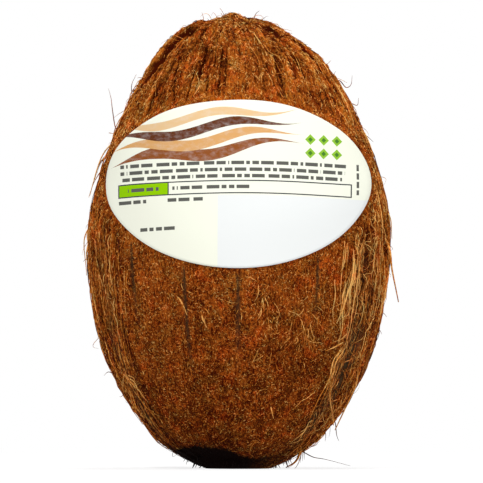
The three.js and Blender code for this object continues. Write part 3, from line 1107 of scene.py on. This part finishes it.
def run_fibres():
    """Long loose fibres that run side by side down the flanks, each gently wavy."""
    draw = np.random.default_rng(71)
    made = []
    for stops, count, spread, pale in RUNS:
        across, height = smooth_route(stops, RUN_STEPS).T
        for _ in range(count):
            first = int(RUN_STEPS * draw.uniform(0, 0.55))
            last = min(RUN_STEPS, first + int(RUN_STEPS * draw.uniform(0.3, 0.75)))
            t = np.linspace(0, 1, last - first)
            wave = draw.uniform(0.1, 0.5) * np.sin(t * draw.uniform(4, 12) + draw.uniform(0, 6))
            beside = draw.normal(0, spread) + draw.normal(0, 0.8) * t + wave
            up = height[first:last]
            lift = 0.15 + draw.uniform(0.1, 0.9) * np.sin(math.pi * t)
            reach = radius_at(share_at(up)) + lift
            azimuth = np.arcsin(np.clip((across[first:last] + beside) / reach, -0.99, 0.99))
            if under_label(azimuth, up).min() < PAPER_EDGE:
                continue
            route = along_husk(line_at(azimuth, up), share_at(up), lift)
            bright = draw.uniform() < pale
            tone = draw.uniform(0.65, 1.1) if bright else draw.uniform(-0.35, 0.3)
            width = draw.uniform(0.8, 1.3) if bright else draw.uniform(0.5, 0.9)
            made.append((route, taper(len(t)) * width, tone))
    return made


def tangle_fibres():
    """Thin curled fibres that lie in the sunken places, and short ones in tufts on the belly."""
    draw = np.random.default_rng(45)
    made = []
    for middle, half_width, low, high, count, longest, pale in TANGLES:
        placed = 0
        while placed < count:
            height = draw.uniform(low, high)
            azimuth = math.radians(middle + draw.normal(0, half_width))
            steps = int(draw.integers(longest // 2, longest + 1))
            angle = draw.normal(math.pi, 0.45) + np.cumsum(draw.normal(0, 0.28, steps))
            stride = draw.uniform(0.6, 1.3)
            share = share_at(height) + np.cumsum(np.cos(angle)) * stride / SIDE_LENGTH
            share = np.clip(share, 0.03, 0.97)
            azimuth = azimuth + np.cumsum(np.sin(angle)) * stride / radius_at(share)
            if under_label(azimuth, height_at(share)).min() < PAPER_EDGE:
                continue
            t = np.linspace(0, 1, steps)
            lift = 0.2 + draw.uniform(0.1, 0.9) * np.sin(math.pi * t) ** 0.7
            lift[0] = -0.3
            route = along_husk(line_at(azimuth, height_at(share)), share, lift)
            width = taper(steps) * draw.uniform(0.6, 1.3)
            made.append((route, width, pale * draw.uniform(0.1, 1)))
            placed += 1
    return made


def stray_hairs():
    """Hairs that stand off the husk: the ones seen at its outline, and seeded ones all round."""
    draw = np.random.default_rng(57)
    made = []
    for route in OUTLINE_HAIRS:
        across, up = np.array(route, float).T
        stops = np.stack([across, np.full(len(across), -1.5), up], -1)
        root = stops[0] - (np.sign(across[0]) * 1.2, 0, 0)
        stops = np.vstack([root, stops])
        steps = 5 * len(stops)
        made.append((smooth_route(stops, steps), 1.8 * taper(steps), draw.uniform(0, 0.3)))
    count = bpy.context.scene.nut_settings.hair_count
    while len(made) < count:
        azimuth = draw.uniform(-math.pi, math.pi)
        share = draw.uniform(0.05, 0.99)
        height = height_at(share)
        if under_label(azimuth, height) < 1.06:
            continue
        line = float(line_at(azimuth, height))
        out = float(relief(line, share)[0])
        reach = draw.uniform(1.0, 3.6)
        length = draw.uniform(2.5, 8)
        heading = draw.normal(math.pi, 1.0)
        steps = 9
        t = np.linspace(0, 1, steps)
        angle = heading + draw.normal(0, 1.3) * t * t
        stride, radius = length / steps, max(radius_at(share), 6)
        share_route = share + np.cumsum(np.cos(angle)) * stride / SIDE_LENGTH
        side_route = azimuth + np.cumsum(np.sin(angle)) * stride / radius
        lift = out - 0.5 + (reach + 0.5) * np.sin(t * draw.uniform(1.2, 2.6))
        route = off_nut(side_route, np.clip(share_route, 0.02, 0.995), lift)
        route[:, 2] = np.maximum(route[:, 2], 0.3)
        made.append((route, taper(steps) * draw.uniform(0.7, 1.1), draw.uniform(0, 0.9)))
    return made


def foot_bristles():
    """Short dark bristles round the foot."""
    draw = np.random.default_rng(83)
    made = []
    for _ in range(FOOT_BRISTLES):
        azimuth, height = draw.uniform(-math.pi, math.pi), draw.uniform(0.3, 4)
        steps = 5
        t = np.linspace(0, 1, steps)
        azimuth = azimuth + draw.normal(0, 0.05) * t
        route = off_nut(azimuth, share_at(height), -1 + (draw.uniform(0.6, 1.8) + 1) * t)
        route[:, 2] = np.maximum(route[:, 2] - draw.uniform(0, 1.5) * t, 0.2)
        made.append((route, taper(steps), draw.uniform(0, 0.4)))
    return made


def fibre_shapes(name, lengths, bends, thickness, finish, draw):
    """A collection of short bent fibres, each a slim spindle of three sides."""
    shapes = bpy.data.collections.new(name)
    for number, (length, bend) in enumerate((a, b) for a in lengths for b in bends):
        t = np.array((0, 0.5, 1))
        x = length * (t - 0.5)
        y = bend * length * (np.sin(math.pi * t) + draw.normal(0, 0.15, len(t)))
        z = 0.09 * length * np.sin(math.pi * t) * draw.uniform(0.3, 1) - 0.06
        middle = np.stack([x, y, z], -1)
        corners = np.radians((90, 210, 330))
        around = np.stack([np.zeros(3), np.cos(corners), np.sin(corners)], -1) * thickness / 2
        tube = middle[1:-1, None] + around[None, :, :]
        points, faces = ring_grid(tube, middle[:1], middle[-1:])
        mesh = mesh_from(f"{name}_{number:02d}", points, faces)
        mesh.materials.append(finish)
        smooth_shade(mesh)
        shapes.objects.link(bpy.data.objects.new(mesh.name, mesh))
    return shapes


def drop_shapes(shapes):
    for obj in list(shapes.objects):
        bpy.data.objects.remove(obj)
    bpy.data.collections.remove(shapes)


# One operator for each piece or group of like pieces


class OBJECT_OT_husk_skin(bpy.types.Operator):
    """The husk's felted surface, with its ridges, splits, furrows and sunken places"""

    bl_idname = "object.husk_skin"
    bl_label = "Husk skin"

    def execute(self, context):
        line = np.linspace(0, 2 * math.pi, SKIN_COLUMNS, endpoint=False)[None, :]
        share = (np.arange(SKIN_ROWS) / SKIN_ROWS)[:, None]
        out, crevice, soft, streak = relief(line, share)
        azimuth = wander(line, height_at(share))
        rings = off_nut(azimuth, share, out)
        tip = off_nut(np.array([0.0]), np.array([1.0]), 0.0)
        points, faces = ring_grid(rings, np.zeros((1, 3)), tip)
        mesh = mesh_from("husk_skin", points, faces)
        smooth_shade(mesh)

        def ends(values):
            return np.concatenate([[values[0].mean()], values.ravel(), [values[-1].mean()]])

        grain = grain_at(line, share).reshape(-1, 3)
        grain = np.vstack([(0, 0, 0), grain, (0, 0, SIDE_LENGTH)])
        grow = np.gradient(rings, axis=0)
        grow /= np.linalg.norm(grow, axis=2)[:, :, None]
        grow = np.vstack([(0, -1, 0), -grow.reshape(-1, 3), (1, 0, 0)])
        height = np.broadcast_to(height_at(share), crevice.shape)
        label = under_label(np.broadcast_to(azimuth, crevice.shape), height)
        open_husk = smoothstep(label, 1.0, 1.03)
        rough = ridge_share(azimuth, height)
        store(mesh, "grain", grain, "FLOAT_VECTOR")
        store(mesh, "grow", grow, "FLOAT_VECTOR")
        store(mesh, "crevice", ends(np.maximum(crevice, 0.55 * soft)))
        store(mesh, "streak", ends(streak))
        store(mesh, "patch", black_patch(points))
        store(mesh, "sunk", ends(np.maximum(sunken(azimuth, height), 0.85 * soft)))
        belly = smoothstep(rough, 0.6, 0.2)
        bare = np.maximum(0.55 * soft, 0.5 * sunken(azimuth, height))
        cover = open_husk * (1 - 0.85 * smoothstep(crevice, 0.25, 0.9)) * (1 - bare)
        cone = smoothstep(height, CONE_START, CONE_FULL)
        store(mesh, "wild", ends(1 - 0.88 * rough * (1 - 0.3 * cone)))
        store(mesh, "felt", ends(cover * (0.12 + 0.88 * belly)))
        store(mesh, "combed", ends(cover * (1 - belly)))
        store(mesh, "sheen", ends(cover))
        obj = new_object("husk_skin", mesh, skin_material())
        settle(obj, "husk_fibre", "husk")
        return {"FINISHED"}


class OBJECT_OT_felt_fibres(bpy.types.Operator):
    """Short fibres matted over the husk"""

    bl_idname = "object.felt_fibres"
    bl_label = "Felt fibres"

    def execute(self, context):
        size = context.scene.nut_settings
        source = bpy.data.objects["husk_skin"].data
        group = felt_group()
        draw = np.random.default_rng(5)
        thick = size.felt_thickness / MM
        curly = (0.6, 1.0, 1.4), (-0.35, 0.14, 0.4)
        combed = (1.1, 1.8, 2.6), (-0.2, 0.05, 0.24)
        # Name, where it grows, lengths, bends, density, thickness, spin, tones and seed
        kinds = [
            ("rust_felt", "felt", *curly, 2.2, 1.0, math.pi, (-0.45, 0.7), 3),
            ("orange_felt", "felt", *curly, 1.7, 0.9, math.pi, (0.05, 1.0), 4),
            ("brown_bristle", "combed", *combed, 0.85, 1.0, math.pi, (-0.35, 0.6), 5),
            ("orange_bristle", "combed", *combed, 0.85, 0.85, math.pi, (0.1, 1.05), 6),
            ("tan_felt", "sheen", *curly, 0.22, 0.7, 2.2, (0.4, 1.0), 9),
        ]
        for name, cover, lengths, bends, share, slim, spin, (low, high), seed in kinds:
            finish = fibre_material(name, low, high)
            shapes = fibre_shapes(name + "_shape", lengths, bends, thick * slim, finish, draw)
            obj = grown(
                name, source.copy(), group, Fibres=shapes, Cover=cover,
                Density=size.felt_density * share, Spin=spin, Smallest=0.7, Largest=1.3,
                Seed=seed, Material=finish,
            )
            smooth_shade(obj.data)
            drop_shapes(shapes)
            settle(obj, "husk_fibre")
        return {"FINISHED"}


class OBJECT_OT_strands(bpy.types.Operator):
    """Long fibres, loose strands, tangles and stray hairs"""

    bl_idname = "object.husk_strands"
    bl_label = "Strands and hairs"

    def execute(self, context):
        group = strand_group()
        # Name, what lays the paths, thickness and tones
        kinds = [
            ("bundle_fibres", bundle_fibres, 0.38 * MM, (-0.1, 0.8)),
            ("run_fibres", run_fibres, 0.4 * MM, (0.2, 1.1)),
            ("tangle_fibres", tangle_fibres, 0.3 * MM, (0.15, 1.1)),
            ("loose_strands", loose_strands, 0.65 * MM, (0.35, 1.05)),
            ("stray_hairs", stray_hairs, 0.22 * MM, (0.0, 0.8)),
            ("foot_bristles", foot_bristles, 0.45 * MM, (0.0, 0.5)),
        ]
        for name, rule, thickness, (low, high) in kinds:
            obj = grown(
                name, path_mesh(name + "_paths", rule()), group, Thickness=thickness, Sides=3,
                Material=fibre_material(name, low, high, rough=0.6),
            )
            smooth_shade(obj.data)
            settle(obj, "husk_fibre")
        return {"FINISHED"}


class OBJECT_OT_label(bpy.types.Operator):
    """The oval paper label, bent round the front of the husk"""

    bl_idname = "object.paper_label"
    bl_label = "Paper label"

    def execute(self, context):
        size = context.scene.label_settings
        across, tall, middle = (v / MM for v in (size.across, size.tall, size.height))
        angle = np.linspace(0, 2 * math.pi, LABEL_RIM, endpoint=False)[None, :]
        sweep = math.asin(across / WIDTH)
        reach = np.sin(sweep * np.arange(1, LABEL_RINGS + 1) / LABEL_RINGS) / math.sin(sweep)
        reach = reach[:, None]

        def place(reach, angle, out):
            height = middle + tall / 2 * reach * np.sin(angle)
            beside = across / 2 * reach * np.cos(angle)
            share = share_at(height)
            azimuth = np.arcsin(beside / (radius_at(share) + out))
            flat = (beside / across + 0.5, (height - middle) / tall + 0.5)
            flat = np.stack(np.broadcast_arrays(*flat), -1)
            wave = 0.12 * np.sin(7 * azimuth + height / 5)
            wave = wave + 0.1 * np.sin(height / 3.1 - 4 * azimuth)
            return off_nut(azimuth, share, out + lump(azimuth, height) + wave * reach), flat

        inside, outside = PAPER_GAP, PAPER_GAP + size.thickness / MM
        centre = np.zeros((1, 1))
        under, flat = place(reach, angle, inside)
        over, _ = place(reach, angle, outside)
        first, first_flat = place(centre, centre, inside)
        last, _ = place(centre, centre, outside)
        rings = np.concatenate([under, over[::-1]])
        points, faces = ring_grid(rings, first[0], last[0])
        mesh = mesh_from("paper_label", points, faces)
        smooth_shade(mesh)
        sides = np.concatenate([flat, flat[::-1]]).reshape(-1, 2)
        flats = np.vstack([first_flat[0], sides, first_flat[0]])
        layer = mesh.uv_layers.new(name="print")
        corners = np.zeros(len(mesh.loops), int)
        mesh.loops.foreach_get("vertex_index", corners)
        layer.data.foreach_set("uv", flats[corners].astype(np.float32).ravel())
        obj = new_object("paper_label", mesh, label_material())
        settle(obj, "label_paper", "label")
        return {"FINISHED"}


def label_material():
    """Cream paper printed with wavy ribbons, a field of lozenges, a form box and plain rules."""
    size = bpy.context.scene.label_settings
    across, tall = size.across / MM, size.tall / MM

    def build(tree):
        uv = tree.node("ShaderNodeUVMap", {"uv_map": "print"})[0]
        u, v, _ = tree.node("ShaderNodeSeparateXYZ", {}, uv)
        x = (u - 0.5) * across
        y = (v - 0.5) * tall + (x - 2.0) * (x - 2.0) * PRINT_ARCH
        panel = y.step(-3.9, -4.1) * x.step(-7.0, -6.8)
        white = tree.mix(panel, size.cream, (0.605, 0.62, 0.615))
        colour = ribbon_print(tree, white, x, y, uv)
        colour = lozenge_print(tree, colour, x, y)
        colour = form_print(tree, colour, x, y)
        crinkle = tree.noise(uv, 14.0, detail=3)
        return {
            "Base Color": colour, "Roughness": 0.6, "Specular IOR Level": 0.02,
            "Normal": tree.raised(crinkle, 0.3 * MM, strength=0.25),
        }

    return material("printed_paper", build)


def inside_box(x, y, left, right, low, high):
    """1 inside a box and 0 outside."""
    return (x > left) * (x < right) * (y > low) * (y < high)


def ribbon_print(tree, colour, x, y, uv):
    """Brown and tan ribbons that sweep from the left edge to the upper middle, thinning out."""
    inks = [(0.2, 0.06, 0.015), (0.5, 0.27, 0.1), (0.09, 0.025, 0.008), (0.56, 0.38, 0.2)]
    blotches = tree.noise(uv, 30.0, detail=4, roughness=0.65).step(0.4, 0.75)
    for number, ink in enumerate(inks):
        wave = (x * 0.16 + number * 0.9).math("SINE") * 1.5
        line = wave + x * 0.1 + (12.4 + 3.9 * number)
        width = x.step(-44, -26) * (1 - x.step(-6, 23)) * (2.0 - 0.2 * number)
        shade = tree.mix(blotches * 0.6, ink, tuple(0.6 * v + 0.22 for v in ink))
        colour = tree.mix(abs(y - line) < width, colour, shade)
    return colour


def lozenge_print(tree, colour, x, y):
    """A small field of green lozenges on the right."""
    size, left, low = 4.6, 22.6, 8.6
    field = inside_box(x, y, left, left + 3 * size, low, low + 2 * size)
    beside = abs(((x - left) / size).math("FRACT") - 0.5)
    above = abs(((y - low) / size).math("FRACT") - 0.5)
    light, deep = (0.2, 0.38, 0.03), (0.05, 0.16, 0.02)
    colour = tree.mix(field * (beside + above < 0.4), colour, light)
    return tree.mix(field * (beside + above < 0.18), colour, deep)


def form_print(tree, colour, x, y):
    """A green tab, a ruled box beside it, and broken grey rules."""
    ink, grey = (0.04, 0.04, 0.045), (0.085, 0.085, 0.075)
    left, right, low, high = FORM_BOX
    box = inside_box(x, y, *FORM_BOX)
    left, right = left + FORM_LINE, right - FORM_LINE
    low, high = low + FORM_LINE, high - FORM_LINE
    inner = inside_box(x, y, left, right, low, high)
    tab = inside_box(x, y, left, TAB_END, low, high)
    divider = inside_box(x, y, TAB_END, TAB_END + FORM_LINE, low, high)
    colour = tree.mix(tab, colour, bpy.context.scene.label_settings.green)
    colour = tree.mix((box - inner).most(divider), colour, ink)
    for left, right, height in RULES:
        rule = inside_box(x, y, left, right, height, height + RULE_TALL)
        for apart, shift, printed in RULE_GAPS:
            rule = rule * ((x / apart + shift * height).math("FRACT") < printed)
        colour = tree.mix(rule, colour, grey)
    side = inside_box(x, y, 40.8, 41.6, -2.4, 8.6) * ((y / 2.9).math("FRACT") < 0.75)
    return tree.mix(side, colour, grey)


class OBJECT_OT_stage(bpy.types.Operator):
    """A pale floor, soft lights and the camera"""

    bl_idname = "object.coconut_stage"
    bl_label = "Stage"

    def execute(self, context):
        scene = context.scene
        settings = scene.stage_settings
        self.floor()
        self.sky(scene, settings.sky)
        # Name, place, size and power
        lights = [
            ("key_light", (-0.35, -0.75, 0.8), 0.16, settings.key_power),
            ("fill_light", (0.7, -0.6, 0.35), 0.4, settings.key_power * 0.5),
            ("top_light", (0.1, 0.15, 0.9), 0.4, settings.key_power * 0.6),
        ]
        for name, place, side, power in lights:
            data = bpy.data.lights.new(name, "AREA")
            data.energy = power
            data.shape = "DISK"
            data.size = side
            lamp = bpy.data.objects.new(name, data)
            scene.collection.objects.link(lamp)
            lamp.location = place
            aim = Vector((0, 0, 0.08)) - Vector(place)
            lamp.rotation_euler = aim.to_track_quat("-Z", "Y").to_euler()
        self.camera(scene, settings)
        scene.view_settings.view_transform = "Standard"
        return {"FINISHED"}

    def floor(self):
        radius, corners = 9.0, 96
        angle = np.linspace(0, 2 * math.pi, corners, endpoint=False)
        rim = np.stack([np.cos(angle), np.sin(angle), np.zeros(corners)], -1) * radius / MM
        mesh = mesh_from("floor", rim, [list(range(corners))])

        def build(tree):
            place = tree.place()
            away = tree.node("ShaderNodeVectorMath", {"operation": "LENGTH"}, place)[0]
            fade = away.step(0.12, 0.5)
            glow = tree.mix(fade, (0.78, 0.78, 0.78), (1, 1, 1))
            colour = tree.mix(fade, (0.22, 0.22, 0.22), (0, 0, 0))
            return {
                "Base Color": colour, "Roughness": 0.9, "Specular IOR Level": 0.0,
                "Emission Color": glow, "Emission Strength": 1.0,
            }

        obj = new_object("floor", mesh, material("floor_white", build))

    def sky(self, scene, strength):
        world = bpy.data.worlds.new("white_sky")
        scene.world = world
        world.use_nodes = True
        tree = Tree(world.node_tree)
        direction = tree.node("ShaderNodeTexCoord")[0]
        rise = abs(tree.node("ShaderNodeSeparateXYZ", {}, direction)[2])
        glow = tree.mix(rise.step(0.14, 0.5), (1, 1, 1), (strength, strength, strength))
        background = tree.node("ShaderNodeBackground", {}, glow, 1.0)[0]
        tree.node("ShaderNodeOutputWorld", {}, background)

    def camera(self, scene, settings):
        # The photograph's frame is 483 pixels wide, and a pixel is 0.3443 mm at the nut.
        frame_pixels, pixel = 483, 0.3443 * MM
        axis_pixel, base_pixel = 237.5, 468.0
        centre = frame_pixels / 2 - 0.5
        aim = Vector(((centre - axis_pixel) * pixel, 0, (base_pixel - centre) * pixel))
        data = bpy.data.cameras.new("camera")
        data.lens = settings.lens
        distance = frame_pixels * pixel * data.lens / data.sensor_width
        camera = bpy.data.objects.new("camera", data)
        scene.collection.objects.link(camera)
        tilt = math.radians(settings.elevation)
        camera.location = aim + Vector((0, -math.cos(tilt), math.sin(tilt))) * distance
        camera.rotation_euler = (math.pi / 2 - tilt, 0, 0)
        scene.camera = camera


class VIEW3D_PT_coconut(bpy.types.Panel):
    """Lists the pieces of the coconut"""

    bl_idname = "VIEW3D_PT_coconut"
    bl_label = "Coconut"
    bl_space_type = "VIEW_3D"
    bl_region_type = "UI"
    bl_category = "Coconut"

    def draw(self, context):
        for operator in OPERATORS:
            self.layout.operator(operator.bl_idname)


OPERATORS = [
    OBJECT_OT_stage, OBJECT_OT_husk_skin, OBJECT_OT_felt_fibres, OBJECT_OT_strands,
    OBJECT_OT_label,
]
SETTINGS = {
    "nut_settings": NutSettings, "label_settings": LabelSettings, "stage_settings": StageSettings,
}


def register():
    for made in (*SETTINGS.values(), *OPERATORS, VIEW3D_PT_coconut):
        bpy.utils.register_class(made)
    for name, group in SETTINGS.items():
        setattr(bpy.types.Scene, name, PointerProperty(type=group))


def unregister():
    for name in SETTINGS:
        delattr(bpy.types.Scene, name)
    for made in (VIEW3D_PT_coconut, *reversed(OPERATORS), *reversed(SETTINGS.values())):
        bpy.utils.unregister_class(made)


def main():
    register()
    for operator in OPERATORS:
        group, name = operator.bl_idname.split(".")
        getattr(getattr(bpy.ops, group), name)()


if __name__ == "__main__":
    main()
